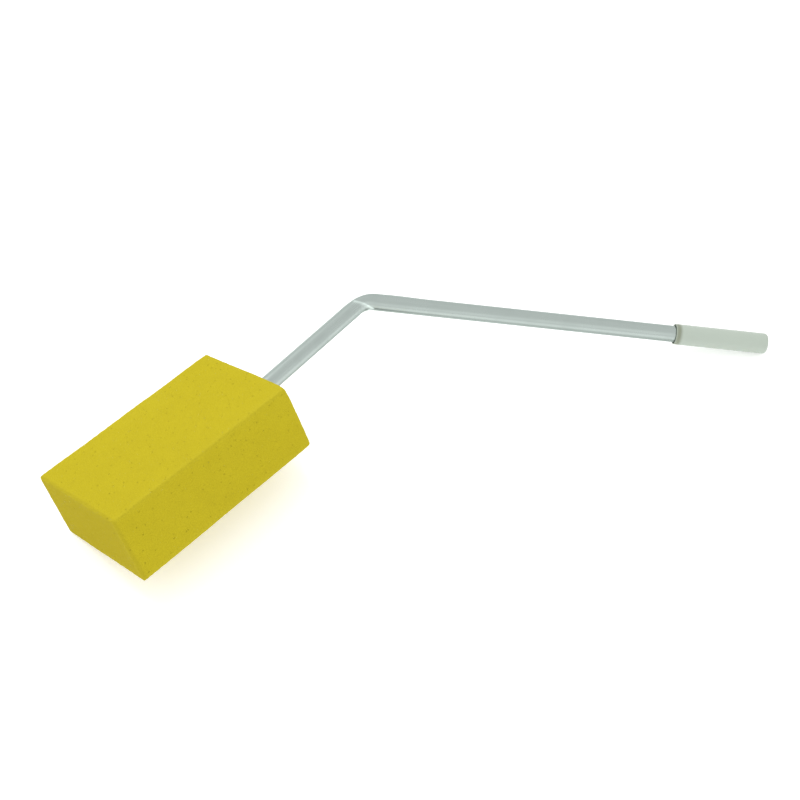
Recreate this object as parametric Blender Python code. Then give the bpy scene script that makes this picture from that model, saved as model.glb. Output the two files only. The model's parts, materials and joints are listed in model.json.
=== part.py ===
"""Foam sponge brush: a block of soft foam glued on the end of a bent aluminium tube.

A push-on plastic sleeve closes the tube's free end. Units are metres and +Z is up. The brush
lies on a table at Z = 0, on one long edge of its block and on the tip of its sleeve, with the
straight arm of the tube level along X and the handle running down to the table. The origin is
at the bottom centre of the whole brush.
"""

import math

import bmesh
import bpy
from mathutils import Matrix, Vector

# Foam block
BLOCK_LENGTH = 0.118
BLOCK_WIDTH = 0.075
BLOCK_THICKNESS = 0.040
BLOCK_EDGE = 0.0008  # roundness of the cut edges
BLOCK_ROLL = math.radians(22.2)  # how far the block is tipped up from lying flat
BLOCK_SKEW = math.radians(3.8)  # the bore isn't quite square to the block
BORE_ASIDE = 0.0006  # the bore's mouth from the middle of the end face, across the width
BORE_ABOVE = 0.0013  # and through the thickness
BORE_SPARE = 0.003  # empty bore past the plug

# Bent tube
TUBE_DIAMETER = 0.010
TUBE_WALL = 0.001
TUBE_BREAK = 0.0003  # broken edge at both cut ends
INSERT_LENGTH = 0.080  # tube inside the block
ARM_LENGTH = 0.0945  # from the block's face to where the two centre lines cross
HANDLE_LENGTH = 0.2446  # from that crossing to the tube's free end
BEND_ANGLE = math.radians(53.4)
BEND_RADIUS = 0.014  # of the centre line

# Glue film between the tube and the block
GLUE_THICKNESS = 0.0005
GLUE_LENGTH = 0.060
GLUE_START = 0.010  # from the block's face

# Plug in the tube's end inside the block
PLUG_HEAD = 0.0030
PLUG_ROUND = 0.0012
PLUG_STEM = 0.012
PLUG_TAPER = 0.0008

# Sleeve on the tube's free end
SLEEVE_LENGTH = 0.0572
SLEEVE_WALL = 0.00097
SLEEVE_FLOOR = 0.0030
SLEEVE_ROUND = 0.0014  # round corner at the closed end
MOUTH_DEPTH = 0.0012  # countersink in the mouth
MOUTH_FLARE = 0.0006
MOUTH_LIP = 0.00025  # rounding of the lip outside

GAP = 0.0003  # kept between pieces that touch

SIDES = 40  # round a full circle
BEND_STEPS = 20
CORNER_STEPS = 5
MERGE = 0.000001

FOAM = ("foam_yellow", (0.70, 0.58, 0.035), 0.95, 0.0)
ALUMINIUM = ("satin_aluminium", (0.62, 0.65, 0.64), 0.32, 1.0)
WHITE_PLASTIC = ("white_plastic", (0.66, 0.69, 0.64), 0.45, 0.0)
GREY_PLASTIC = ("grey_plastic", (0.32, 0.33, 0.33), 0.5, 0.0)
GLUE = ("clear_glue", (0.72, 0.66, 0.48), 0.3, 0.0)

TUBE_RADIUS = TUBE_DIAMETER / 2
TUBE_BORE = TUBE_RADIUS - TUBE_WALL
SLEEVE_BORE = TUBE_RADIUS + GAP
SLEEVE_RADIUS = SLEEVE_BORE + SLEEVE_WALL
SLEEVE_TIP = HANDLE_LENGTH + GAP + SLEEVE_FLOOR  # along the handle, from the crossing


def clear_scene():
    for found in list(bpy.data.objects):
        bpy.data.objects.remove(found, do_unlink=True)


def finish(name_colour):
    name, colour, roughness, metallic = name_colour
    material = bpy.data.materials.get(name) or bpy.data.materials.new(name)
    material.use_nodes = True
    shader = material.node_tree.nodes["Principled BSDF"]
    shader.inputs["Base Color"].default_value = (*colour, 1.0)
    shader.inputs["Roughness"].default_value = roughness
    shader.inputs["Metallic"].default_value = metallic
    return material


def add_object(name, bm, look, place, parent):
    """Turns a bmesh into an object under the parent, with its faces out and its round sides smooth."""
    bmesh.ops.recalc_face_normals(bm, faces=bm.faces)
    mesh = bpy.data.meshes.new(name)
    bm.to_mesh(mesh)
    bm.free()
    mesh.materials.append(finish(look))
    mesh.shade_smooth()
    mesh.set_sharp_from_angle(angle=math.radians(35))
    made = bpy.data.objects.new(name, mesh)
    bpy.context.collection.objects.link(made)
    made.parent = parent
    made.matrix_local = place
    return made


def rings(stations, ends_meet):
    """A closed body drawn through rings, each a (frame, radius) with the ring's axis on its Z.

    When ends_meet is true the last ring joins the first, as in a tube's wall, and when it isn't
    the first and last rings are closed with a disc.
    """
    bm = bmesh.new()
    frame, radius = stations[0]
    made = bmesh.ops.create_circle(bm, segments=SIDES, radius=radius, matrix=frame)
    loop = list({edge for vert in made["verts"] for edge in vert.link_edges})
    first = loop
    following = stations[1:] + (stations[:1] if ends_meet else [])
    for next_frame, next_radius in following:
        grown = bmesh.ops.extrude_edge_only(bm, edges=loop)["geom"]
        verts = {item for item in grown if isinstance(item, bmesh.types.BMVert)}
        loop = list({edge for vert in verts for edge in vert.link_edges if set(edge.verts) <= verts})
        resize = Matrix.Scale(next_radius / radius, 4)
        bmesh.ops.transform(bm, matrix=next_frame @ resize @ frame.inverted(), verts=list(verts))
        frame, radius = next_frame, next_radius
    if ends_meet:
        bmesh.ops.remove_doubles(bm, verts=bm.verts, dist=MERGE)
    else:
        for disc in (first, loop):
            bmesh.ops.contextual_create(bm, geom=disc)
    return bm


def along(profile):
    """Ring frames on the local X axis for a profile of (x, radius) points."""
    turn = Matrix.Rotation(math.radians(90), 4, "Y")
    return [(Matrix.Translation((x, 0, 0)) @ turn, radius) for x, radius in profile]


def corner(x, radius, size, forward):
    """A quarter-round profile at the end x of a cylinder, from its side to its end face."""
    points = []
    for step in range(CORNER_STEPS + 1):
        angle = math.radians(90) * step / CORNER_STEPS
        reach = size * (1 - math.sin(angle))
        points.append((x - forward * reach, radius - size * (1 - math.cos(angle))))
    return points


def block_turn():
    return Matrix.Rotation(-BLOCK_SKEW, 4, "Z") @ Matrix.Rotation(-BLOCK_ROLL, 4, "X")


def block_mesh():
    """The plain block in its own axes, with the bore's mouth at its origin."""
    bm = bmesh.new()
    bmesh.ops.create_cube(bm, size=1.0)
    bmesh.ops.scale(bm, vec=(BLOCK_LENGTH, BLOCK_WIDTH, BLOCK_THICKNESS), verts=bm.verts)
    middle = (-BLOCK_LENGTH / 2, -BORE_ASIDE, -BORE_ABOVE)
    bmesh.ops.translate(bm, vec=middle, verts=bm.verts)
    bmesh.ops.bevel(
        bm, geom=bm.edges[:], offset=BLOCK_EDGE, segments=2, affect="EDGES", profile=0.5, material=-1
    )
    return bm


def arm_height():
    """Height of the arm's axis with the block's lower long edge on the table."""
    bm = block_mesh()
    lowest = min((block_turn() @ vert.co).z for vert in bm.verts)
    bm.free()
    return -lowest


def handle_dip():
    """Slope of the handle that sets the round corner of the sleeve's tip on the table."""
    run = SLEEVE_TIP - SLEEVE_ROUND
    side = SLEEVE_RADIUS - SLEEVE_ROUND
    drop = arm_height() - SLEEVE_ROUND
    return math.asin(drop / math.hypot(run, side)) - math.atan2(side, run)


def handle_direction():
    """The handle leaves the arm at the bend's angle, and dips to the table by the handle's slope."""
    down = -math.sin(handle_dip())
    ahead = math.cos(BEND_ANGLE)
    return Vector((ahead, -math.sqrt(1 - ahead**2 - down**2), down))


def handle_frame(distance):
    """Frame on the handle at a distance from the crossing: X along the handle, Z near upright."""
    x_axis = handle_direction()
    y_axis = Vector((0, 0, 1)).cross(x_axis).normalized()
    z_axis = x_axis.cross(y_axis)
    place = Vector((ARM_LENGTH, 0, arm_height())) + x_axis * distance
    axes = Matrix((x_axis, y_axis, z_axis)).transposed().to_4x4()
    return Matrix.Translation(place) @ axes


def make_block(parent):
    """The block with its blind bore, which opens out where the glue film lies."""
    place = Matrix.Translation((0, 0, arm_height()))
    block = add_object("foam_block", block_mesh(), FOAM, place @ block_turn(), parent)
    glue_from = -GLUE_START + GAP
    glue_to = -GLUE_START - GLUE_LENGTH - GAP
    pocket = TUBE_RADIUS + 2 * GAP + GLUE_THICKNESS
    snug = TUBE_RADIUS + GAP
    bottom = -INSERT_LENGTH - GAP - PLUG_HEAD - BORE_SPARE
    outside = BLOCK_WIDTH * math.tan(BLOCK_SKEW) + BLOCK_EDGE
    profile = [
        (outside, snug), (glue_from, snug), (glue_from, pocket),
        (glue_to, pocket), (glue_to, snug), (bottom, snug),
    ]
    cutter = add_object("bore_cutter", rings(along(profile), False), FOAM, place, parent)
    cutter.hide_render = True
    cutter.display_type = "WIRE"
    cut = block.modifiers.new("bore", "BOOLEAN")
    cut.operation = "DIFFERENCE"
    cut.solver = "EXACT"
    cut.object = cutter
    return block


def bend_frames():
    """Ring frames through the bend, from the end of the arm to the start of the handle."""
    towards = handle_direction()
    inward = Vector((0, towards.y, towards.z)).normalized()
    axis = Vector((1, 0, 0)).cross(inward)
    tangent = BEND_RADIUS * math.tan(BEND_ANGLE / 2)
    start = Vector((ARM_LENGTH - tangent, 0, arm_height()))
    centre = start + inward * BEND_RADIUS
    first = Matrix.Translation(start) @ Matrix.Rotation(math.radians(90), 4, "Y")
    frames = []
    for step in range(BEND_STEPS + 1):
        turn = Matrix.Rotation(BEND_ANGLE * step / BEND_STEPS, 4, axis)
        about = Matrix.Translation(centre) @ turn @ Matrix.Translation(-centre)
        frames.append(about @ first)
    return frames


def shifted(frame, distance):
    """The frame moved along its own Z axis."""
    return frame @ Matrix.Translation((0, 0, distance))


def make_tube(parent):
    """One length of tube from inside the block, round the bend, to its free end."""
    bend = bend_frames()
    tangent = BEND_RADIUS * math.tan(BEND_ANGLE / 2)
    start = shifted(bend[0], -(ARM_LENGTH - tangent) - INSERT_LENGTH)
    end = shifted(bend[-1], HANDLE_LENGTH - tangent)
    outer, inner = TUBE_RADIUS, TUBE_BORE
    path = [shifted(start, TUBE_BREAK), *bend, shifted(end, -TUBE_BREAK)]
    stations = [(start, outer - TUBE_BREAK)]
    stations += [(frame, outer) for frame in path]
    stations += [(end, outer - TUBE_BREAK), (end, inner)]
    stations += [(frame, inner) for frame in reversed(bend)]
    stations += [(start, inner)]
    return add_object("bent_tube", rings(stations, True), ALUMINIUM, Matrix(), parent)


def make_glue(parent):
    """A thin cured film round the tube, inside the block."""
    inner = TUBE_RADIUS + GAP
    outer = inner + GLUE_THICKNESS
    near, far = -GLUE_START, -GLUE_START - GLUE_LENGTH
    profile = [(near, inner), (near, outer), (far, outer), (far, inner)]
    place = Matrix.Translation((0, 0, arm_height()))
    return add_object("glue_film", rings(along(profile), True), GLUE, place, parent)


def make_plug(parent):
    """Push-in plug that keeps the tube's cut end from coring the foam."""
    face = -INSERT_LENGTH - GAP
    back = face - PLUG_HEAD
    stem = TUBE_BORE - GAP
    tip = -INSERT_LENGTH + PLUG_STEM
    profile = list(reversed(corner(back, TUBE_RADIUS, PLUG_ROUND, -1)))
    profile += [
        (face, TUBE_RADIUS), (face, stem), (tip - PLUG_TAPER, stem), (tip, stem - PLUG_TAPER),
    ]
    place = Matrix.Translation((0, 0, arm_height()))
    return add_object("tube_plug", rings(along(profile), False), GREY_PLASTIC, place, parent)


def make_sleeve(parent):
    """Closed sleeve pushed over the tube's free end, with a countersunk mouth."""
    mouth = SLEEVE_TIP - SLEEVE_LENGTH
    floor = SLEEVE_TIP - SLEEVE_FLOOR
    flare = SLEEVE_BORE + MOUTH_FLARE
    profile = [
        (floor, SLEEVE_BORE), (mouth + MOUTH_DEPTH, SLEEVE_BORE), (mouth, flare),
        (mouth, SLEEVE_RADIUS - MOUTH_LIP), (mouth + MOUTH_LIP, SLEEVE_RADIUS),
    ]
    profile += corner(SLEEVE_TIP, SLEEVE_RADIUS, SLEEVE_ROUND, 1)
    place = handle_frame(0)
    return add_object("end_sleeve", rings(along(profile), False), WHITE_PLASTIC, place, parent)


def stand_on_origin(base, pieces):
    """Moves the parent so that the bottom centre of all the pieces is at the origin."""
    bpy.context.view_layer.update()
    corners = [piece.matrix_world @ vert.co for piece in pieces for vert in piece.data.vertices]
    low = Vector([min(point[axis] for point in corners) for axis in range(3)])
    high = Vector([max(point[axis] for point in corners) for axis in range(3)])
    base.location = (-(low.x + high.x) / 2, -(low.y + high.y) / 2, -low.z)


def main():
    clear_scene()
    base = bpy.data.objects.new("brush", None)
    bpy.context.collection.objects.link(base)
    makers = (make_block, make_glue, make_tube, make_plug, make_sleeve)
    pieces = [make(base) for make in makers]
    stand_on_origin(base, pieces)
    bpy.context.view_layer.update()


main()
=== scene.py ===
"""Foam sponge brush: visible pieces, finishes, table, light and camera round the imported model.

A block cut from soft yellow foam is glued on one end of a bent aluminium tube, and a closed plastic
sleeve is pushed on the other. Lengths are metres, with +Z up, and the brush lies on Z = 0 with its
arm along +X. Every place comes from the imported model: its mounts, its nodes' corners and its box.
"""

import json
import logging
import math
import random
from dataclasses import dataclass, field
from enum import Enum
from typing import Any, Mapping, Sequence

import bmesh
import bpy
import numpy as np
from mathutils import Matrix, Vector, noise


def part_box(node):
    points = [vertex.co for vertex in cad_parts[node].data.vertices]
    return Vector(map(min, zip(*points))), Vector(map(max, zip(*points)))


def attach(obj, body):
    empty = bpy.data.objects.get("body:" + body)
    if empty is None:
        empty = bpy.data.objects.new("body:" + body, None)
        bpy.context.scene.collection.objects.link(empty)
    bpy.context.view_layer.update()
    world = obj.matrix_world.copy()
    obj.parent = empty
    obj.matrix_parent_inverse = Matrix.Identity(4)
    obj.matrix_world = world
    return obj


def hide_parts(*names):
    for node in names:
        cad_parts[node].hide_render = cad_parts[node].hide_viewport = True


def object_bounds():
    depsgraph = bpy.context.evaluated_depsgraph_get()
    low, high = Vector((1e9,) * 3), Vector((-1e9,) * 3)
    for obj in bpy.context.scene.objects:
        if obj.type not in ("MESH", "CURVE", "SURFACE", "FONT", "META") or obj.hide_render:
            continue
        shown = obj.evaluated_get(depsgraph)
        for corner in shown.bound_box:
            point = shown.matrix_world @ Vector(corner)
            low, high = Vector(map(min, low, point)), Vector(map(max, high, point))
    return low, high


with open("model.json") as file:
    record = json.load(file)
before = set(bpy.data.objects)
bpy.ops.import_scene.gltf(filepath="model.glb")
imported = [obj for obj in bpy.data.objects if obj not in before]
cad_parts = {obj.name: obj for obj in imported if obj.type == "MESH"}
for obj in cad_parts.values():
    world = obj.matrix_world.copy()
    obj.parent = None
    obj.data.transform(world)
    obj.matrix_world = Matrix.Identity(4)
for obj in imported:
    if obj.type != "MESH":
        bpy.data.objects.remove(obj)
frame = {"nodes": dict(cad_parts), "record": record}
CAD_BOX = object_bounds()

LOG = logging.getLogger("foam_sponge_brush")
BODY = "root"
MM = 0.001
TURN = 2 * math.pi
WELD = 1e-6  # points closer than this are one point

Colour = tuple[float, float, float]
Triple = tuple[float, float, float]  # a place, a direction or a shift
Pair = tuple[float, float]


class Slot(Enum):
    """The record's material slots, one named for each new piece; nothing puts a piece in one."""

    FOAM = "foam"
    TUBE = "tube"
    SLEEVE = "sleeve"


class Sum(Enum):
    """What a Math node works out."""

    ADD = "ADD"
    SUBTRACT = "SUBTRACT"
    MULTIPLY = "MULTIPLY"
    MAXIMUM = "MAXIMUM"
    MINIMUM = "MINIMUM"


class Trace(Enum):
    """What a mesh carries on each of its points, for its material to read."""

    EDGE = "edge"
    STRAIGHT = "straight"
    # painted highlight and painted shade on the tube
    MARK = "painted_light"
    # painted shade round the sleeve's mouth
    PAINTED_SHADE = "painted_shade"


# ---- Materials: sockets as Python values ----


@dataclass(frozen=True)
class Signal:
    """A node's output, with Python's arithmetic: an expression on values adds its Math nodes."""

    shop: "Finisher"
    socket: bpy.types.NodeSocket

    def _sum(self, kind: Sum, first: Any, second: Any) -> "Signal":
        """Adds one Math node for first and second."""
        return self.shop.node("ShaderNodeMath", {"operation": kind.value}, {0: first, 1: second})

    def __add__(self, other: Any) -> "Signal":
        """self + other."""
        return self._sum(Sum.ADD, self, other)

    def __radd__(self, other: Any) -> "Signal":
        """other + self."""
        return self._sum(Sum.ADD, other, self)

    def __sub__(self, other: Any) -> "Signal":
        """self - other."""
        return self._sum(Sum.SUBTRACT, self, other)

    def __rsub__(self, other: Any) -> "Signal":
        """other - self."""
        return self._sum(Sum.SUBTRACT, other, self)

    def __mul__(self, other: Any) -> "Signal":
        """self * other."""
        return self._sum(Sum.MULTIPLY, self, other)

    def __rmul__(self, other: Any) -> "Signal":
        """other * self."""
        return self._sum(Sum.MULTIPLY, other, self)

    def at_least(self, low: Any) -> "Signal":
        """The larger of this and low."""
        return self._sum(Sum.MAXIMUM, self, low)

    def at_most(self, high: Any) -> "Signal":
        """The smaller of this and high."""
        return self._sum(Sum.MINIMUM, self, high)


class Finisher:
    """Makes one material's nodes."""

    def __init__(self, name: str) -> None:
        """Starts a material with only a Principled BSDF and its output.

        Args:
            name: the material's name.
        """
        self.material = bpy.data.materials.new(name)
        self.material.use_nodes = True
        self.tree = self.material.node_tree
        self.shader = next(n for n in self.tree.nodes if n.type == "BSDF_PRINCIPLED")

    def node(
        self,
        kind: str,
        settings: Mapping[str, Any] | None = None,
        inputs: Mapping[str | int, Any] | None = None,
        output: str | int = 0,
    ) -> Signal:
        """Adds a node of any kind.

        Args:
            kind: the node's type, such as ShaderNodeTexNoise.
            settings: its properties, set before its sockets.
            inputs: a value or a Signal for each socket, by name or by number.
            output: the socket that the result stands for.

        Returns:
            The chosen output.
        """
        made = self.tree.nodes.new(kind)
        for key, value in (settings or {}).items():
            setattr(made, key, value)
        for key, value in (inputs or {}).items():
            self.feed(made.inputs[key], value)
        return Signal(self, made.outputs[output])

    def feed(self, socket: bpy.types.NodeSocket, value: Any) -> None:
        """Links a Signal to a socket, or sets the socket's own value."""
        if isinstance(value, Signal):
            self.tree.links.new(value.socket, socket)
        elif socket.type == "RGBA" and len(value) == 3:
            socket.default_value = (*value, 1.0)
        else:
            socket.default_value = value

    def shade(self, **inputs: Any) -> None:
        """Sets the shader's sockets; an underscore in a name stands for a space."""
        for key, value in inputs.items():
            self.feed(self.shader.inputs[key.replace("_", " ")], value)

    def mix(self, share: Any, under: Any, over: Any) -> Signal:
        """Lays one colour over another, whose share shows from 0 to 1."""
        settings = {"data_type": "RGBA", "blend_type": "MIX"}
        return self.node("ShaderNodeMix", settings, {0: share, 6: under, 7: over}, 2)

    def here(self) -> Signal:
        """The point on the piece, in metres."""
        return self.node("ShaderNodeTexCoord", output="Object")

    def stored(self, trace: Trace, output: str = "Fac") -> Signal:
        """A value that the mesh carries."""
        return self.node("ShaderNodeAttribute", {"attribute_name": trace.value}, output=output)

    def stretched(self, where: Signal, scale: Sequence[float]) -> Signal:
        """Scales a point's three coordinates, each by its own number."""
        settings = {"operation": "MULTIPLY"}
        return self.node("ShaderNodeVectorMath", settings, {0: where, 1: scale})

    def grain(self, where: Signal, length: float, detail: float = 2.0) -> Signal:
        """Even noise, 0.5 on average, in patches of about that length, with finer layers."""
        inputs = {"Vector": where, "Scale": 1 / length, "Detail": detail}
        return self.node("ShaderNodeTexNoise", {}, inputs, "Fac")

    def cells(self, where: Signal, length: float) -> Signal:
        """Cells of about that length: the distance to the nearest centre."""
        inputs = {"Vector": where, "Scale": 1 / length}
        return self.node("ShaderNodeTexVoronoi", {}, inputs, "Distance")

    def step(self, value: Any, limits: Pair) -> Signal:
        """0 where a value is under the lower limit and 1 over the upper one, soft between them."""
        settings = {"interpolation_type": "SMOOTHSTEP"}
        inputs = {"Value": value, "From Min": limits[0], "From Max": limits[1]}
        return self.node("ShaderNodeMapRange", settings, inputs)

    def relief(self, height_mm: Signal) -> None:
        """Shapes the surface's shading by a height in millimetres."""
        inputs = {"Height": height_mm, "Distance": MM, "Strength": 1.0}
        self.shade(Normal=self.node("ShaderNodeBump", {}, inputs))


# ---- Finishes ----


class Finish:
    """What a surface is made of: each kind paints its own nodes."""

    def make(self, name: str) -> bpy.types.Material:
        """Builds the material.

        Args:
            name: its name.

        Returns:
            The material.
        """
        shop = Finisher(name)
        self.paint(shop)
        return shop.material

    def paint(self, shop: Finisher) -> None:
        """Adds the finish's nodes; each kind has its own."""
        raise NotImplementedError


@dataclass(frozen=True)
class OpenCellFoam(Finish):
    """Soft yellow polyurethane foam with fine open cells, cut with a blade."""

    turn: Matrix  # from the brush's frame to the block's own axes
    body: Colour = (0.505, 0.421, 0.0170)
    deep: Colour = (0.425, 0.346, 0.0145)
    dusty: Colour = (0.54, 0.465, 0.034)
    cell: float = 0.75 * MM
    strut: float = 0.3 * MM
    pore: float = 3.4 * MM
    mottle: float = 9 * MM
    patch: float = 38 * MM
    blade_wave: float = 2.6 * MM
    blade_run: float = 30 * MM
    hollow_limits: Pair = (0.25, 0.85)  # of the distance from a cell's middle
    pore_limits: Pair = (0.06, 0.16)
    hollow_shade: float = 0.28  # shares of the deep colour
    pore_shade: float = 0.3
    mottle_shade: float = 0.5
    mottle_middle: float = 0.62
    patch_shade: float = 0.3
    patch_middle: float = 0.5
    toe_limits: Pair = (-58.5 * MM, -56.5 * MM)  # along the block, where the working end stops
    # painted shade: the toe face darker, as it takes less light than the front
    toe_painted_shade: float = 0.9
    edge_dust: Pair = (0.10, 0.3)  # shares of the dusty colour: even, and on the struts
    patch_dust: float = 0.5
    dusty_patch: float = 0.58
    roughness: float = 0.9
    roughness_spread: float = 0.08
    gloss: float = 0.06
    heights_mm: tuple[float, ...] = (0.10, 0.16, 0.35, 0.25)  # struts, cells, pores, blade

    def paint(self, shop: Finisher) -> None:
        """Adds the finish's nodes."""
        inputs = {
            "Vector": shop.here(),
            "Rotation": self.turn.to_euler(),
            "Location": self.turn.to_translation(),
        }
        where = shop.node("ShaderNodeMapping", {}, inputs)
        along = shop.node("ShaderNodeSeparateXYZ", {}, {0: where})
        # the toe face, which takes painted shade
        toe = 1 - shop.step(along, self.toe_limits)
        cells = shop.cells(where, self.cell)
        fine = shop.grain(where, self.strut, 1.0)
        pores = 1 - shop.step(shop.cells(where, self.pore), self.pore_limits)
        mottle = shop.grain(where, self.mottle, 3.0)
        patch = shop.grain(where, self.patch, 1.0)
        run = shop.stretched(where, (1 / self.blade_wave, 1 / self.blade_run, 1 / self.blade_run))
        waves = shop.grain(run, 1.0, 1.0)
        edge = shop.stored(Trace.EDGE)

        hollow = shop.step(cells, self.hollow_limits)
        shadow = self.hollow_shade * hollow + self.pore_shade * pores
        shadow = shadow + self.mottle_shade * (self.mottle_middle - mottle)
        shadow = shadow + self.patch_shade * (self.patch_middle - patch)
        # the toe face darkened by painted shade
        shadow = shadow.at_least(0.0) + self.toe_painted_shade * toe
        colour = shop.mix(shadow.at_most(1.0), self.body, self.deep)
        worn = edge * (self.edge_dust[0] + self.edge_dust[1] * fine)
        worn = worn + self.patch_dust * (patch - self.dusty_patch).at_least(0.0)
        shop.shade(
            Base_Color=shop.mix(worn.at_most(1.0), colour, self.dusty),
            Roughness=self.roughness + self.roughness_spread * mottle,
            Specular_IOR_Level=self.gloss,
        )
        strut, cell, pore, blade = self.heights_mm
        shop.relief(strut * fine - cell * hollow - pore * pores + blade * waves)


@dataclass(frozen=True)
class DrawnAluminium(Finish):
    """Mill-finish aluminium tube: fine lines along its length, faint handling marks, a painted
    highlight across the bend and painted shade along its inner side.
    """

    bright: Colour = (0.455, 0.515, 0.49)
    dull: Colour = (0.385, 0.44, 0.415)
    # painted highlight: the streak of reflected light across the bend
    highlight_colour: Colour = (0.66, 0.755, 0.715)
    # painted shade: a dark reflection along the tube's inner side
    painted_shade_colour: Colour = (0.15, 0.18, 0.165)
    glancing: Colour = (0.62, 0.66, 0.64)  # the tint where light only grazes it
    line_width: float = 0.22 * MM
    line_run: float = 45 * MM
    band_width: float = 1.32 * MM
    band_run: float = 125 * MM
    smudge: float = 16 * MM
    smudge_limits: Pair = (0.42, 0.72)
    line_shade: float = 0.55  # shares of the dull colour
    band_shade: float = 0.45
    drawn_shade: float = 0.9
    smudge_shade: float = 0.3
    painted_shade_strength: Pair = (0.7, 0.6)  # how much of the painted shade shows: even, and in the drawn lines
    roughness: float = 0.23
    line_roughness: float = 0.10
    smudge_roughness: float = 0.07
    # roughness rises where the painted shade is
    painted_shade_roughness: float = 0.15
    line_mm: float = 0.004
    band_mm: float = 0.006

    def paint(self, shop: Finisher) -> None:
        """Adds the finish's nodes, on each point's place on the straight tube."""
        where = shop.stored(Trace.STRAIGHT, "Vector")
        across, along = 1 / self.line_width, 1 / self.line_run
        lines = shop.grain(shop.stretched(where, (along, across, across)), 1.0, 3.0)
        across, along = 1 / self.band_width, 1 / self.band_run
        bands = shop.grain(shop.stretched(where, (along, across, across)), 1.0, 2.0)
        smudge = shop.step(shop.grain(where, self.smudge, 3.0), self.smudge_limits)
        drawn = self.line_shade * lines + self.band_shade * bands
        shade = drawn * self.drawn_shade + self.smudge_shade * smudge
        painted_light = shop.stored(Trace.MARK)
        # above 0 is the painted highlight across the bend, below 0 the painted shade along the
        # inner side
        painted_highlight = painted_light.at_least(0.0)
        painted_shade = (0.0 - painted_light).at_least(0.0)
        plain_metal = shop.mix(shade.at_most(1.0), self.bright, self.dull)
        rub_and_highlight = shop.mix(painted_highlight.at_most(1.0), plain_metal, self.highlight_colour)
        # the painted shade's share of the colour
        painted_shade_share = (painted_shade * (self.painted_shade_strength[0] + self.painted_shade_strength[1] * lines)).at_most(1.0)
        roughness = self.roughness + self.line_roughness * lines
        roughness = roughness + self.smudge_roughness * smudge + self.painted_shade_roughness * painted_shade
        shop.shade(
            Base_Color=shop.mix(painted_shade_share, rub_and_highlight, self.painted_shade_colour),
            Metallic=1.0,
            Roughness=roughness,
            Specular_Tint=self.glancing,
        )
        shop.relief(self.line_mm * lines + self.band_mm * bands)


@dataclass(frozen=True)
class MouldedPlastic(Finish):
    """Soft moulded plastic: a nearly even colour with a faint grain, handling marks and painted
    shade where the mesh carries it.
    """

    body: Colour
    marked: Colour
    # painted shade, where the mesh carries it
    painted_shade_colour: Colour = (0.235, 0.265, 0.195)
    roughness: float = 0.42
    grain: float = 0.35 * MM
    cloud: float = 14 * MM
    cloud_shade: float = 0.8  # share of the marked colour
    grain_shade: Pair = (0.6, 0.8)
    rubbed_limits: Pair = (0.50, 0.75)
    # how much of the painted shade shows
    painted_shade_strength: float = 0.5
    cloud_roughness: float = 0.10
    rubbed_roughness: float = 0.08
    grain_mm: float = 0.006
    cloud_mm: float = 0.024

    def paint(self, shop: Finisher) -> None:
        """Adds the finish's nodes."""
        where = shop.here()
        cloud = shop.grain(where, self.cloud, 4.0)
        grain = shop.grain(where, self.grain, 2.0)
        rub_and_highlight = shop.step(shop.grain(where, self.cloud / 3, 3.0), self.rubbed_limits)
        grainy = self.grain_shade[0] + self.grain_shade[1] * grain
        colour = shop.mix(self.cloud_shade * cloud * grainy, self.body, self.marked)
        # painted shade, where the mesh carries it
        painted_shade_share = (shop.stored(Trace.PAINTED_SHADE) * (self.painted_shade_strength + cloud)).at_most(1.0)
        roughness = self.roughness + self.cloud_roughness * (cloud - 0.5)
        shop.shade(
            Base_Color=shop.mix(painted_shade_share, colour, self.painted_shade_colour),
            Roughness=roughness + self.rubbed_roughness * rub_and_highlight,
        )
        shop.relief(self.grain_mm * grain + self.cloud_mm * cloud)


@dataclass(frozen=True)
class HotMeltGlue(Finish):
    """Amber glue, set in soft runs."""

    clear: Colour = (0.62, 0.47, 0.22)
    cloudy: Colour = (0.74, 0.66, 0.47)
    run: float = 5 * MM
    bubble_limits: Pair = (0.08, 0.16)
    roughness: float = 0.18
    roughness_spread: float = 0.2
    coat: float = 0.3
    run_mm: float = 0.3
    bubble_mm: float = 0.1

    def paint(self, shop: Finisher) -> None:
        """Adds the finish's nodes."""
        where = shop.here()
        runs = shop.grain(where, self.run, 2.0)
        bubbles = 1 - shop.step(shop.cells(where, self.run / 2), self.bubble_limits)
        shop.shade(
            Base_Color=shop.mix(runs, self.clear, self.cloudy),
            Roughness=self.roughness + self.roughness_spread * runs,
            Coat_Weight=self.coat,
        )
        shop.relief(self.run_mm * runs - self.bubble_mm * bubbles)


@dataclass(frozen=True)
class PaleFloor(Finish):
    """A plain matt table top, lit a little from below as a light table is."""

    colour: Colour = (0.90, 0.90, 0.90)
    paler: float = 1.02  # how much paler its cloudy patches are
    cloud: float = 4 * MM
    roughness: float = 0.9
    glow: float = 0.32

    def paint(self, shop: Finisher) -> None:
        """Adds the finish's nodes."""
        cloud = shop.grain(shop.here(), self.cloud, 2.0)
        paler = tuple(min(1.0, part * self.paler) for part in self.colour)
        shop.shade(
            Base_Color=shop.mix(cloud, self.colour, paler),
            Roughness=self.roughness,
            Specular_IOR_Level=0.0,
            Emission_Color=(1.0, 1.0, 1.0),
            Emission_Strength=self.glow,
        )


# ---- Outlines and meshes ----


def spaced(start: float, end: float, step: float) -> list[float]:
    """Even stations from start to end, no further apart than step."""
    count = max(1, math.ceil(abs(end - start) / step))
    return [start + (end - start) * i / count for i in range(count + 1)]


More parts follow.
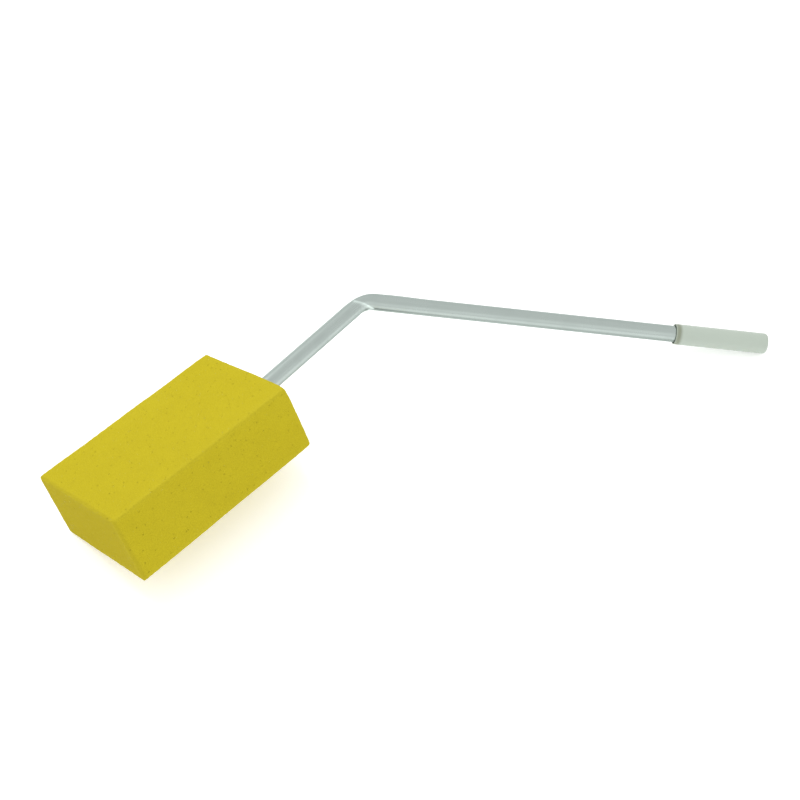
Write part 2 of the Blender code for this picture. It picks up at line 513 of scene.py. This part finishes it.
def rounded(corners: Sequence[Triple], segments: int = 5) -> list[Pair]:
    """Turns an outline's corners into arcs.

    Args:
        corners: (along, out, radius) at each corner, with 0 for a sharp one.
        segments: the straight runs in each arc.

    Returns:
        The outline's points.
    """
    outline: list[Pair] = []
    for i, (x, y, radius) in enumerate(corners):
        here = Vector((x, y))
        if radius == 0 or i in (0, len(corners) - 1):
            outline.append((x, y))
            continue
        back = (Vector(corners[i - 1][:2]) - here).normalized()
        ahead = (Vector(corners[i + 1][:2]) - here).normalized()
        half = back.angle(ahead) / 2
        centre = here + (back + ahead).normalized() * (radius / math.sin(half))
        first = here + back * (radius / math.tan(half)) - centre
        sweep = first.angle_signed(here + ahead * (radius / math.tan(half)) - centre)
        for j in range(segments + 1):
            arm = Matrix.Rotation(-sweep * j / segments, 2) @ first
            outline.append(tuple(centre + arm))
    return outline


def turned(outline: Sequence[Pair], steps: int, closed: bool = False) -> bmesh.types.BMesh:
    """Spins an outline round the X axis.

    Args:
        outline: (along, radius) points.
        steps: the sides of the turned shape.
        closed: whether the last point joins the first.

    Returns:
        A closed mesh with its faces outwards.
    """
    bm = bmesh.new()
    verts = [bm.verts.new((along, radius, 0)) for along, radius in outline]
    pairs = list(zip(verts, verts[1:] + verts[:1] if closed else verts[1:]))
    edges = [bm.edges.new(pair) for pair in pairs]
    bmesh.ops.spin(
        bm,
        geom=verts + edges,
        cent=(0, 0, 0),
        axis=(1, 0, 0),
        angle=TURN,
        steps=steps,
        use_merge=True,
    )
    bmesh.ops.remove_doubles(bm, verts=bm.verts, dist=WELD)
    bmesh.ops.recalc_face_normals(bm, faces=bm.faces)
    return bm


def hump(gone: Any, reach: float) -> Any:
    """A smooth hump: 1 where gone is 0, and 0 from reach on, for a number or an array."""
    return np.cos(np.clip(gone / reach, -1, 1) * math.pi / 2) ** 2


def new_object(name: str, bm: bmesh.types.BMesh) -> bpy.types.Object:
    """Makes an object at the origin from a mesh that is already in its place.

    Args:
        name: the object's name.
        bm: its mesh, which is freed.

    Returns:
        The object.
    """
    mesh = bpy.data.meshes.new(name)
    bm.to_mesh(mesh)
    bm.free()
    made = bpy.data.objects.new(name, mesh)
    bpy.context.scene.collection.objects.link(made)
    return made


def smooth(piece: bpy.types.Object, sharp_deg: float) -> None:
    """Shades a piece smooth, apart from edges sharper than an angle."""
    piece.data.shade_smooth()
    piece.data.set_sharp_from_angle(angle=math.radians(sharp_deg))


def keep_values(piece: bpy.types.Object, trace: Trace, values: np.ndarray) -> None:
    """Stores a number or a vector on each point of a piece, for its material to read."""
    kind, field_name = ("FLOAT", "value") if values.ndim == 1 else ("FLOAT_VECTOR", "vector")
    attribute = piece.data.attributes.new(trace.value, kind, "POINT")
    attribute.data.foreach_set(field_name, values.astype(np.float32).ravel())


def points_of(mesh: bpy.types.Mesh) -> np.ndarray:
    """A mesh's points, one row each."""
    found = np.empty(len(mesh.vertices) * 3, np.float32)
    mesh.vertices.foreach_get("co", found)
    return found.reshape(-1, 3).astype(float)


def hand_over(piece: bpy.types.Object, slot: Slot, *nodes: str) -> None:
    """Puts a finished piece on the brush's body, in place of CAD nodes."""
    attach(piece, BODY)
    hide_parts(*nodes)


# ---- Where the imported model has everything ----


class Layout:
    """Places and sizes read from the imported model."""

    def __init__(self) -> None:
        """Reads the mounts and the nodes' points."""
        mounts = {m["name"]: m for m in frame["record"]["mounts"]}
        self.up = Vector(mounts["broad_face"]["axis"]).normalized()
        self.to_tube = -Vector(mounts["toe_face"]["axis"]).normalized()
        self.handle_way = Vector(mounts["sleeve_end"]["axis"]).normalized()
        self.sleeve_foot = Vector(mounts["sleeve_end"]["pos_m"])
        low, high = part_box("glue_film")
        self.arm = (low + high) / 2  # a point on the arm's centre line
        self.arm_way = Vector((1, 0, 0))
        self.glue_run = (low.x, high.x)
        self.glue_radius = (high.z - low.z) / 2
        self.tube_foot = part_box("bent_tube")[0].x
        self.tube_bore, self.tube_radius = self.tube_radii()

    def points(self, node: str) -> np.ndarray:
        """A CAD node's points, one row each."""
        return points_of(frame["nodes"][node].data)

    def spread(self, node: str, origin: Vector, way: Vector) -> tuple[float, float]:
        """A CAD node's lowest and highest places along a unit direction, counted from origin."""
        along = (self.points(node) - np.array(origin)) @ np.array(way)
        return float(along.min()), float(along.max())

    def tube_radii(self) -> tuple[float, float]:
        """The tube's inner and outer radius, from its end inside the block."""
        rows = self.points("bent_tube")
        rows = rows[rows[:, 0] < self.glue_run[1]] - np.array(self.arm)
        out = np.hypot(rows[:, 1], rows[:, 2])
        return float(out.min()), float(out.max())

    def sleeve_radius(self) -> float:
        """The sleeve's outer radius."""
        rows = self.points("end_sleeve") - np.array(self.sleeve_foot)
        out = rows - np.outer(rows @ np.array(self.handle_way), self.handle_way)
        return float(np.linalg.norm(out, axis=1).max())

    def crossing(self) -> Vector:
        """The point where the arm's and the handle's centre lines meet."""
        rise = (self.arm.z - self.sleeve_foot.z) / self.handle_way.z
        return self.sleeve_foot + self.handle_way * rise


# ---- The foam head ----


# How far each corner of the block is off square, by its side of the block's length (towards the
# tube), width (towards the back) and thickness.
OUT_OF_SQUARE_MM: dict[tuple[int, int, int], Triple] = {
    (-1, -1, -1): (-0.4, -1.0, -1.2),
    (-1, -1, 1): (0.0, -0.6, 0.0),
    (-1, 1, -1): (-0.6, 0.0, -0.2),
    (1, -1, -1): (0.5, -0.9, -0.8),
    (1, -1, 1): (-0.2, -0.6, 0.0),
    (1, 1, -1): (0.4, 0.0, 0.0),
    (1, 1, 1): (0.4, 0.0, 0.0),
}


@dataclass
class FoamHead:
    """The sponge: a block sliced from open-cell foam, bored and glued on the arm."""

    layout: Layout
    grid: float = 0.72 * MM  # the surface's point spacing
    edge_round: float = 1.0 * MM
    edge_segments: int = 3
    sliver: float = 0.10 * MM  # fine unevenness of the cut faces
    sliver_length: float = 2.3 * MM
    finer_sliver: float = 0.6  # share of a second, finer unevenness
    finer_length: float = 1.1 * MM
    sway: float = 0.30 * MM  # their slow waviness
    sway_length: float = 34 * MM
    sway_start: Triple = (5.1, 2.7, 8.3)
    ragged: float = 0.10 * MM  # extra unevenness along the edges
    ragged_length: float = 1.6 * MM
    edge_reach: float = 1.2 * MM
    dimple: float = 0.7 * MM  # how far the glue draws the face in round the tube
    dimple_width: float = 8.5 * MM
    corner_give: Pair = (0.05 * MM, 0.3 * MM)
    tube_corner: tuple[int, int, int] = (1, -1, 1)  # the upper front one next to the tube
    tube_corner_give: float = 0.8 * MM  # which is rubbed rounder
    corner_width: float = 4.0 * MM
    pits: int = 110
    pit_radius: Pair = (0.8 * MM, 1.5 * MM)
    pit_depth: Pair = (0.10 * MM, 0.35 * MM)
    pit_bowl: float = 1.5  # the power that rounds a pit's sides
    settle: float = 0.45 * MM  # how far the lowest edge is pressed flat
    settle_reach: float = 6 * MM  # up from it
    snug: float = 0.12 * MM  # round the bare tube
    pocket: float = 0.3 * MM  # round the glue
    blind: float = 2.0 * MM  # of the bore past the tube's end
    bore_sides: int = 64
    sharp_deg: float = 50  # an edge keener than this is shaded sharp
    seed: int = 41
    size: Vector = field(init=False)
    place: Matrix = field(init=False)

    def __post_init__(self) -> None:
        """Works out the block's axes, size and middle."""
        up, length = self.layout.up, self.layout.to_tube
        axes = (length, up.cross(length).normalized(), up)
        spans = [self.layout.spread("foam_block", Vector(), way) for way in axes]
        self.size = Vector([high - low for low, high in spans])
        middle = sum((way * (low + high) / 2 for way, (low, high) in zip(axes, spans)), Vector())
        self.place = Matrix.Translation(middle) @ Matrix(axes).transposed().to_4x4()

    def sliced_block(self) -> bmesh.types.BMesh:
        """A softly edged block with an even grid of points on every face, round the origin."""
        bm = bmesh.new()
        bmesh.ops.create_cube(bm, size=1.0)
        bmesh.ops.scale(bm, vec=self.size, verts=bm.verts)
        bmesh.ops.bevel(
            bm,
            geom=bm.edges,
            offset=self.edge_round,
            offset_type="OFFSET",
            affect="EDGES",
            segments=self.edge_segments,
            profile=0.5,
            material=-1,
        )
        for axis in range(3):
            long_edges = [
                edge
                for edge in bm.edges
                if abs((edge.verts[1].co - edge.verts[0].co)[axis]) > self.size[axis] / 2
            ]
            cuts = round(self.size[axis] / self.grid) - 1
            bmesh.ops.subdivide_edges(bm, edges=long_edges, cuts=cuts, use_grid_fill=True)
        return bm

    def edge_nearness(self, rows: np.ndarray) -> np.ndarray:
        """For points on the block's own axes: 1 on its edges, and 0 well inside its faces."""
        inset = np.sort(np.array(self.size) / 2 - np.abs(rows), axis=1)
        return np.exp(-np.maximum(inset[:, 1] - self.edge_round / 2, 0) / self.edge_reach)

    def weathered(self, rows: np.ndarray, normals: np.ndarray) -> np.ndarray:
        """Gives the cut faces their unevenness, pits, soft corners and the dimple at the tube.

        Args:
            rows: points on the block's own axes.
            normals: the surface's direction at each.

        Returns:
            The moved points.
        """
        edge = self.edge_nearness(rows)
        lift = np.array([self.unevenness(Vector(row)) for row in rows])
        ragged = np.array([noise.noise(Vector(row) / self.ragged_length) for row in rows])
        lift += self.ragged * edge * ragged - self.pit_depths(rows)
        moved = rows + normals * lift[:, None]
        return moved + self.corner_shift(rows) + self.dimple_shift(rows) + self.skew_shift(rows)

    def unevenness(self, here: Vector) -> float:
        """How far the blade left the face proud at a point, in metres."""
        finer = self.finer_sliver * noise.noise(here / self.finer_length)
        fine = noise.noise(here / self.sliver_length) + finer
        slow = noise.noise(here / self.sway_length + Vector(self.sway_start))
        return self.sliver * fine + self.sway * slow

    def pit_depths(self, rows: np.ndarray) -> np.ndarray:
        """The depth at each point of the larger torn cells, scattered over the faces."""
        dice = random.Random(self.seed)
        depth = np.zeros(len(rows))
        half = np.array(self.size) / 2
        areas = [half[1] * half[2], half[0] * half[2], half[0] * half[1]]
        for _ in range(self.pits):
            axis = dice.choices(range(3), weights=areas)[0]
            centre = np.array([dice.uniform(-h, h) for h in half])
            centre[axis] = math.copysign(half[axis], centre[axis])
            radius = dice.uniform(*self.pit_radius)
            deep = dice.uniform(*self.pit_depth)
            near = np.abs(rows[:, axis] - centre[axis]) < radius
            share = np.linalg.norm(rows[near] - centre, axis=1) / radius
            bowl = np.maximum(1 - share**2, 0) ** self.pit_bowl
            depth[near] = np.maximum(depth[near], deep * bowl)
        return depth

    def corner_shift(self, rows: np.ndarray) -> np.ndarray:
        """How the block's eight corners give, each by its own amount."""
        dice = random.Random(self.seed + 1)
        half = np.array(self.size) / 2
        shift = np.zeros_like(rows)
        for signs in ((x, y, z) for x in (-1, 1) for y in (-1, 1) for z in (-1, 1)):
            give = dice.uniform(*self.corner_give)
            if signs == self.tube_corner:
                give = self.tube_corner_give
            gone = np.linalg.norm(rows - half * signs, axis=1) / self.corner_width
            shift -= np.outer(np.exp(-(gone**2)) * give, signs) / math.sqrt(3)
        return shift

    def skew_shift(self, rows: np.ndarray) -> np.ndarray:
        """How far the block was cut out of square: each corner's shift, spread over the faces."""
        share = rows / np.array(self.size) + 0.5
        shift = np.zeros_like(rows)
        for signs, off_mm in OUT_OF_SQUARE_MM.items():
            shares = [part if sign > 0 else 1 - part for part, sign in zip(share.T, signs)]
            shift += np.outer(np.prod(shares, 0), off_mm) * MM
        return shift

    def dimple_shift(self, rows: np.ndarray) -> np.ndarray:
        """How the face round the tube is drawn in."""
        to_block = self.place.inverted()
        mouth = to_block @ self.layout.arm
        way = to_block.to_3x3() @ self.layout.arm_way
        mouth += way * ((self.size.x / 2 - mouth.x) / way.x)
        gone = np.linalg.norm(rows - np.array(mouth), axis=1) / self.dimple_width
        return np.outer(-self.dimple * np.exp(-(gone**2)), (1, 0, 0))

    def settled(self, rows: np.ndarray) -> np.ndarray:
        """Lets the block, in the brush's frame, down on the floor and presses its lowest edge."""
        lowest = rows[:, 2].min()
        weight = np.clip(1 - (rows[:, 2] - lowest) / self.settle_reach, 0, 1)
        rows[:, 2] -= (lowest + self.settle) * weight
        rows[:, 2] = np.maximum(rows[:, 2], 0.0)
        return rows

    def bore(self) -> bmesh.types.BMesh:
        """The hole's own shape: snug on the bare tube, wider round the glue, and blind."""
        layout = self.layout
        start, end = layout.glue_run[0] - self.pocket, layout.glue_run[1] + self.pocket
        narrow, wide = layout.tube_radius + self.snug, layout.glue_radius + self.pocket
        bottom = layout.tube_foot - self.blind
        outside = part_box("foam_block")[1].x + self.size.y
        outline = [
            (bottom, 0),
            (bottom, narrow),
            (start, narrow),
            (start, wide),
            (end, wide),
            (end, narrow),
            (outside, narrow),
            (outside, 0),
        ]
        bm = turned(outline, self.bore_sides)
        bmesh.ops.translate(bm, vec=(0, layout.arm.y, layout.arm.z), verts=bm.verts)
        return bm

    def make(self) -> bpy.types.Object:
        """Builds, bores and dresses the block.

        Returns:
            The foam piece.
        """
        bm = self.sliced_block()
        bm.normal_update()
        rows = np.array([vert.co for vert in bm.verts])
        normals = np.array([vert.normal for vert in bm.verts])
        rows = self.weathered(rows, normals)
        turn = np.array(self.place.to_3x3())
        rows = self.settled(rows @ turn.T + np.array(self.place.to_translation()))
        for vert, row in zip(bm.verts, rows):
            vert.co = row
        piece = new_object("foam_sponge", bm)
        self.cut(piece, new_object("bore", self.bore()))
        inside = (points_of(piece.data) - np.array(self.place.to_translation())) @ turn
        keep_values(piece, Trace.EDGE, self.edge_nearness(inside))
        smooth(piece, self.sharp_deg)
        piece.data.materials.append(OpenCellFoam(self.place.inverted()).make("open_cell_foam"))
        hand_over(piece, Slot.FOAM, "foam_block")
        return piece

    @staticmethod
    def cut(piece: bpy.types.Object, cutter: bpy.types.Object) -> None:
        """Takes the cutter's shape out of a piece, and removes the cutter."""
        modifier = piece.modifiers.new("bore", "BOOLEAN")
        modifier.object = cutter
        modifier.operation = "DIFFERENCE"
        modifier.solver = "EXACT"
        ready = piece.evaluated_get(bpy.context.evaluated_depsgraph_get())
        mesh = bpy.data.meshes.new_from_object(ready)
        piece.modifiers.clear()
        piece.data = mesh
        mesh.name = piece.name
        bpy.data.objects.remove(cutter)


# ---- The handle ----


@dataclass
class BentTube:
    """The handle: one drawn tube, bent by hand round a former between the arm and the grip."""

    layout: Layout
    bend_radius: float = 14 * MM  # of the centre line
    sides: int = 96
    sharp_deg: float = 35
    straight_step: float = 5 * MM
    bend_step: float = 0.45 * MM
    chamfer: float = 0.3 * MM
    flat: float = 0.70 * MM  # how far the outer side is flattened where the bend begins
    flat_at: float = 4 * MM  # past the bend's start
    flat_reach: float = 9 * MM
    flat_power: float = 1.5  # the powers keep the flat and the ripple near the bend's plane
    ripple_power: int = 3
    swell: float = 0.55 * MM  # how far the outer side stands proud just past the bend
    swell_at: float = 25 * MM
    swell_reach: float = 21 * MM
    swell_spacing: int = 3  # bend steps between the stations there
    pinched: float = 0.04  # share of the radius lost on the bend's inner side
    widened: float = 0.04  # share gained across the bend
    ripple: float = 0.10 * MM  # height of the creases on the inner side
    ripple_length: float = 3.4 * MM
    run_out: float = 5 * MM  # how far those three reach into the straights
    # The painted highlight, a streak of reflected light painted across the bend:
    highlight_from: float = 0.5 * MM  # past the bend's start, on the tube's outer side
    highlight_to: float = 12.0 * MM  # and on its inner side
    highlight_turn: float = math.radians(105)  # how far round from the inner side it runs
    highlight_curve: float = 1.6
    highlight_fade: float = 1.2 * MM  # how softly the painted highlight ends towards the arm
    highlight_edge: float = 0.5 * MM  # and towards the handle
    highlight_spread: float = 1.1  # how much wider it is on the inner side
    highlight_end: float = 0.5  # how softly it ends round the tube, in radians
    painted_shade_turn: float = math.radians(9)  # the painted shade's half width on the inner side
    # Painted shade, a dark reflection painted along the tube's inner side, deepest in the bend's
    # hollow:
    arm_painted_shade: float = 0.25
    handle_painted_shade: float = 0.38
    kink_painted_shade: float = 0.6
    kink_at: float = 5.5 * MM
    kink_reach: float = 4 * MM
    kink_fade: float = 25 * MM

    def __post_init__(self) -> None:
        """Works out the bend's plane, angle and ends, and the tube's length before bending."""
        layout = self.layout
        self.angle = layout.arm_way.angle(layout.handle_way)
        self.inward = (layout.handle_way - layout.arm_way * math.cos(self.angle)).normalized()
        self.across = layout.arm_way.cross(self.inward)
        tangent = self.bend_radius * math.tan(self.angle / 2)
        crossing = layout.crossing()
        self.foot = Vector((layout.tube_foot, layout.arm.y, layout.arm.z))
        self.bend_from = (crossing - self.foot).dot(layout.arm_way) - tangent
        self.bend_run = self.bend_radius * self.angle
        handle = layout.spread("bent_tube", crossing, layout.handle_way)[1] - tangent
        self.length = self.bend_from + self.bend_run + handle

    def stations(self) -> list[float]:
        """Places along the tube, close together where it bends."""
        first, last = self.bend_from - self.run_out, self.bend_from + self.bend_run + self.run_out
        arm = spaced(self.chamfer, first, self.straight_step)
        bend = spaced(first, last, self.bend_step)
        calm = self.bend_from + self.swell_at + self.swell_reach
        swollen = spaced(last, calm, self.swell_spacing * self.bend_step)
        handle = spaced(swollen[-1], self.length - self.chamfer, self.straight_step)
        return arm[:-1] + bend + swollen[1:] + handle[1:]

    def outline(self) -> list[Pair]:
        """The wall's closed outline on the straight tube, with chamfered ends."""
        outer, inner = self.layout.tube_radius, self.layout.tube_bore
        inside = inner + self.chamfer / 2
        walls = self.stations()
        return [
            (0, inside),
            (0, outer - self.chamfer),
            *((along, outer) for along in walls),
            (self.length, outer - self.chamfer),
            (self.length, inside),
            *((along, inner) for along in reversed(walls)),
        ]

    def squeezed(self, here: Vector) -> tuple[float, float]:
        """The cross-section's (inward, across) place once the bend has distorted it.

        Args:
            here: (along, inward, across) on the straight tube.

        Returns:
            The new inward and across.
        """
        _, inward, across = here
        gone = here.x - self.bend_from
        middle = self.bend_run / 2
        share = hump(gone - middle, middle + self.run_out)
        depth = abs(inward) / self.layout.tube_radius
        if inward > 0:
            crease = math.cos(TURN * (gone - middle) / self.ripple_length)
            ripple = self.ripple * crease * depth**self.ripple_power
            inward += share * (ripple - self.pinched * inward)
        else:
            flat = self.flat * hump(gone - self.flat_at, self.flat_reach)
            swell = self.swell * hump(gone - self.swell_at, self.swell_reach)
            inward += (flat - swell) * depth**self.flat_power
        return inward, across * (1 + self.widened * share)

    def painted_light_and_shade(self, straight: np.ndarray) -> np.ndarray:
        """Painted light on the surface: above 0 for the painted highlight across the bend, below 0
        for painted shade along the inner side.

        Args:
            straight: (along, inward, across) on the straight tube, one row each.

        Returns:
            One number for each point.
        """
        along = straight[:, 0] - self.bend_from
        around = np.abs(np.arctan2(straight[:, 2], straight[:, 1]))
        inner = np.clip(1 - around / self.highlight_turn, 0, 1)
        run = self.highlight_to - self.highlight_from
        gone = along - self.highlight_from - run * inner**self.highlight_curve
        width = np.where(gone < 0, self.highlight_fade, self.highlight_edge)
        width = width * (1 + self.highlight_spread * inner)
        # painted highlight: a streak of reflected light across the bend
        painted_highlight = np.exp(-((gone / width) ** 2))
        painted_highlight *= hump(np.maximum(around - self.highlight_turn, 0), self.highlight_end)
        # painted shade along the inner side, deepest in the bend's hollow and just past it
        past = np.maximum(along - self.bend_run, 0)
        handle = self.handle_painted_shade + self.kink_painted_shade * np.exp(-past / self.kink_fade)
        kink = self.kink_painted_shade * hump(along - self.kink_at, self.kink_reach)
        painted_shade = np.where(past > 0, handle, self.arm_painted_shade + kink)
        painted_shade *= np.exp(-((around / self.painted_shade_turn) ** 2))
        return painted_highlight - painted_shade * (1 - painted_highlight)

    def bent(self, here: Vector) -> Vector:
        """Carries a point of the straight tube round the bend.

        Args:
            here: (along, inward, across) on the straight tube.

        Returns:
            Its place in the brush's frame.
        """
        arm_way = self.layout.arm_way
        inward, across = self.squeezed(here)
        into = min(max(here.x - self.bend_from, 0), self.bend_run)
        turn = into / self.bend_radius
        way = arm_way * math.cos(turn) + self.inward * math.sin(turn)
        side = self.inward * math.cos(turn) - arm_way * math.sin(turn)
        before = min(here.x, self.bend_from)
        after = max(here.x - self.bend_from - self.bend_run, 0)
        centre = self.foot + arm_way * before + self.inward * self.bend_radius
        return centre + side * (inward - self.bend_radius) + way * after + self.across * across

    def make(self) -> bpy.types.Object:
        """Builds and dresses the tube.

        Returns:
            The tube piece.
        """
        bm = turned(self.outline(), self.sides, closed=True)
        straight = np.array([vert.co for vert in bm.verts])
        for vert in bm.verts:
            vert.co = self.bent(vert.co)
        bmesh.ops.recalc_face_normals(bm, faces=bm.faces)
        piece = new_object("handle_tube", bm)
        keep_values(piece, Trace.STRAIGHT, straight)
        # the painted highlight and the painted shade, for the material to read
        keep_values(piece, Trace.MARK, self.painted_light_and_shade(straight))
        smooth(piece, self.sharp_deg)
        piece.data.materials.append(DrawnAluminium().make("drawn_aluminium"))
        hand_over(piece, Slot.TUBE, "bent_tube")
        return piece


@dataclass
class EndSleeve:
    """The closed plastic sleeve pushed on the handle's end, with a countersunk mouth."""

    layout: Layout
    fit: float = 0.3 * MM  # round the tube
    mouth_depth: float = 1.2 * MM
    mouth_flare: float = 0.6 * MM
    lip_round: float = 0.35 * MM
    end_round: float = 1.4 * MM
    corner: float = 0.6 * MM  # inside, at the floor
    gate_radius: float = 1.5 * MM  # of the dished moulding point in the closed end
    gate_depth: float = 0.25 * MM
    gate_slope: float = 0.3 * MM
    gate_rounds: Pair = (0.15 * MM, 0.2 * MM)  # at its bottom and its rim
    stub_radius: float = 0.5 * MM  # of the stub in the dish's middle
    stub_depth: float = 0.1 * MM
    stub_slope: float = 0.1 * MM
    mouth_round: float = 0.2 * MM
    wall_step: float = 3 * MM
    mouth_step: float = 0.35 * MM
    painted_shade_at: float = 1.6 * MM  # middle of the painted shade round the mouth, where the tube goes in, from the mouth
    painted_shade_reach: float = 2.8 * MM
    sides: int = 96
    sharp_deg: float = 40
    seam: float = 0.05 * MM  # height of the mould's two parting lines
    plastic: Finish = MouldedPlastic(body=(0.44, 0.50, 0.435), marked=(0.40, 0.46, 0.395))

    def __post_init__(self) -> None:
        """Works out the sleeve's length, radii and floor."""
        layout = self.layout
        foot, way = layout.sleeve_foot, layout.handle_way
        self.length = -layout.spread("end_sleeve", foot, way)[0]
        self.radius = layout.sleeve_radius()
        self.bore = layout.tube_radius + self.fit
        self.floor = -layout.spread("bent_tube", foot, way)[1] - self.fit

    def outline(self) -> list[Pair]:
        """The outline from the closed end's middle, round the wall, to the floor's middle."""
        gate = self.length - self.gate_depth
        stub = self.length - self.stub_depth
        lip = self.bore + self.mouth_flare
        seat = self.length - self.floor
        corners = [
            (stub, 0, 0),
            (stub, self.stub_radius, self.stub_slope),
            (gate, self.stub_radius + self.stub_slope, 0),
            (gate, self.gate_radius - self.gate_slope, self.gate_rounds[0]),
            (self.length, self.gate_radius, self.gate_rounds[1]),
            (self.length, self.radius, self.end_round),
            *((along, self.radius, 0) for along in self.wall_stations()),
            (0, self.radius, self.lip_round),
            (0, lip, 0),
            (self.mouth_depth, self.bore, self.mouth_round),
            (seat, self.bore, self.corner),
            (seat, 0, 0),
        ]
        return rounded(corners)

    def wall_stations(self) -> list[float]:
        """Places along the outer wall, from the closed end to the mouth."""
        near_mouth = self.painted_shade_at + self.painted_shade_reach
        wall = spaced(self.length - 2 * self.end_round, near_mouth, self.wall_step)
        return wall + spaced(near_mouth, 2 * self.lip_round, self.mouth_step)[1:]

    def place(self) -> Matrix:
        """From the turned sleeve, mouth at the origin and end at +X, to the brush's frame."""
        way = self.layout.handle_way
        side = Vector((0, 0, 1)).cross(way).normalized()
        turn = Matrix((way, side, way.cross(side))).transposed().to_4x4()
        return Matrix.Translation(self.layout.sleeve_foot - way * self.length) @ turn

    def raise_seam(self, bm: bmesh.types.BMesh) -> None:
        """Lifts the outer wall along the mould's parting lines, at +Y and -Y."""
        for vert in bm.verts:
            out = math.hypot(vert.co.y, vert.co.z)
            if out < self.radius - self.lip_round:
                continue
            if abs(vert.co.z) < WELD:
                vert.co.y *= 1 + self.seam / out

    def make(self) -> bpy.types.Object:
        """Builds and dresses the sleeve.

        Returns:
            The sleeve piece.
        """
        bm = turned(self.outline(), self.sides)
        self.raise_seam(bm)
        along = np.array([vert.co.x for vert in bm.verts])
        bmesh.ops.transform(bm, matrix=self.place(), verts=bm.verts)
        piece = new_object("grip_sleeve", bm)
        # painted shade round the mouth, where the tube goes in
        keep_values(piece, Trace.PAINTED_SHADE, hump(along - self.painted_shade_at, self.painted_shade_reach))
        smooth(piece, self.sharp_deg)
        piece.data.materials.append(self.plastic.make("sleeve_plastic"))
        hand_over(piece, Slot.SLEEVE, "end_sleeve")
        return piece


@dataclass
class HiddenPieces:
    """The glue and the plug inside the head: their CAD shapes, with real finishes."""

    glue_film: Finish = HotMeltGlue()
    tube_plug: Finish = MouldedPlastic((0.09, 0.095, 0.095), (0.14, 0.145, 0.145), roughness=0.5)

    def make(self) -> list[bpy.types.Object]:
        """Gives each node its material.

        Returns:
            The two nodes.
        """
        finishes = {"glue_film": self.glue_film, "tube_plug": self.tube_plug}
        for name, finish in finishes.items():
            materials = frame["nodes"][name].data.materials
            materials.clear()
            materials.append(finish.make(name + "_finish"))
        return [frame["nodes"][name] for name in finishes]


# ---- The studio ----


@dataclass(frozen=True)
class SoftBox:
    """A rectangular lamp aimed at a point."""

    name: str
    way: Triple  # towards the lamp
    distance: float
    size: Pair
    power: float
    long_way: Triple = (0.0, 0.0, 1.0)  # the direction that its first side runs in

    def hang(self, aim: Vector) -> None:
        """Puts the lamp in the scene.

        Args:
            aim: the point that it shines at.
        """
        lamp = bpy.data.lights.new(self.name, "AREA")
        lamp.shape = "RECTANGLE"
        lamp.size, lamp.size_y = self.size
        lamp.energy = self.power
        made = bpy.data.objects.new(self.name, lamp)
        bpy.context.scene.collection.objects.link(made)
        back = Vector(self.way).normalized()
        side = (Vector(self.long_way) - back * back.dot(Vector(self.long_way))).normalized()
        turn = Matrix((side, back.cross(side), back)).transposed().to_4x4()
        made.matrix_world = Matrix.Translation(aim + back * self.distance) @ turn
        made.visible_camera = False


@dataclass
class Studio:
    """A pale table, soft light and the camera."""

    floor_size: float = 12.0
    floor_cells: int = 4  # along each side
    floor_drop: float = 0.05 * MM
    sky: float = 1.0
    azimuth_deg: float = 50.77  # of the view, from +Y towards +X
    elevation_deg: float = 51.36  # of the camera above the brush
    distance: float = 0.70491
    aim_aside: Pair = (-0.01301, 0.01101)  # of the view's centre from the box's middle
    lens: float = 56.25
    sensor: float = 36.0
    near: float = 0.01
    lamps: tuple[SoftBox, ...] = (
        SoftBox("key", (0.0, 0.65, 0.76), 1.6, (0.7, 0.7), 8.2),
        SoftBox("fill", (-0.25, -0.80, 0.46), 2.0, (3.4, 1.2), 3.2, (1.0, -0.3, 0.0)),
    )

    def build(self) -> None:
        """Makes the floor, the light and the camera."""
        bpy.context.scene.view_settings.view_transform = "Standard"
        self.lay_floor()
        self.light_sky()
        middle = (Vector(CAD_BOX[0]) + Vector(CAD_BOX[1])) / 2
        for lamp in self.lamps:
            lamp.hang(middle)
        self.set_camera(middle)

    def lay_floor(self) -> None:
        """Lays the table top just under the brush."""
        bm = bmesh.new()
        cells, half = self.floor_cells, self.floor_size / 2
        bmesh.ops.create_grid(bm, x_segments=cells, y_segments=cells, size=half)
        bmesh.ops.translate(bm, vec=(0, 0, -self.floor_drop), verts=bm.verts)
        floor = new_object("table_top", bm)
        floor.data.materials.append(PaleFloor().make("pale_floor"))

    def light_sky(self) -> None:
        """Lights the scene evenly from all round."""
        world = bpy.data.worlds.new("studio")
        world.use_nodes = True
        sky = next(node for node in world.node_tree.nodes if node.type == "BACKGROUND")
        sky.inputs["Color"].default_value = (1.0, 1.0, 1.0, 1.0)
        sky.inputs["Strength"].default_value = self.sky
        bpy.context.scene.world = world

    def set_camera(self, middle: Vector) -> None:
        """Aims the camera.

        Args:
            middle: the middle of the brush's box.
        """
        lens = bpy.data.cameras.new("camera")
        lens.lens = self.lens
        lens.sensor_width = self.sensor
        lens.clip_start = self.near
        camera = bpy.data.objects.new("camera", lens)
        bpy.context.scene.collection.objects.link(camera)
        azimuth, elevation = math.radians(self.azimuth_deg), math.radians(self.elevation_deg)
        flat = math.cos(elevation)
        ahead = Vector((math.sin(azimuth) * flat, math.cos(azimuth) * flat, -math.sin(elevation)))
        camera.location = middle + Vector((*self.aim_aside, 0)) - ahead * self.distance
        camera.rotation_euler = ahead.to_track_quat("-Z", "Y").to_euler()
        bpy.context.scene.camera = camera


def main() -> None:
    """Builds the brush and its studio, piece by piece."""
    logging.basicConfig(level=logging.INFO, format="%(name)s: %(message)s")
    layout = Layout()
    pieces = [FoamHead(layout).make(), BentTube(layout).make(), EndSleeve(layout).make()]
    for piece in pieces + HiddenPieces().make():
        triangles = sum(len(face.vertices) - 2 for face in piece.data.polygons)
        LOG.info("%s: %d triangles", piece.name, triangles)
    Studio().build()


if __name__ == "__main__":
    main()
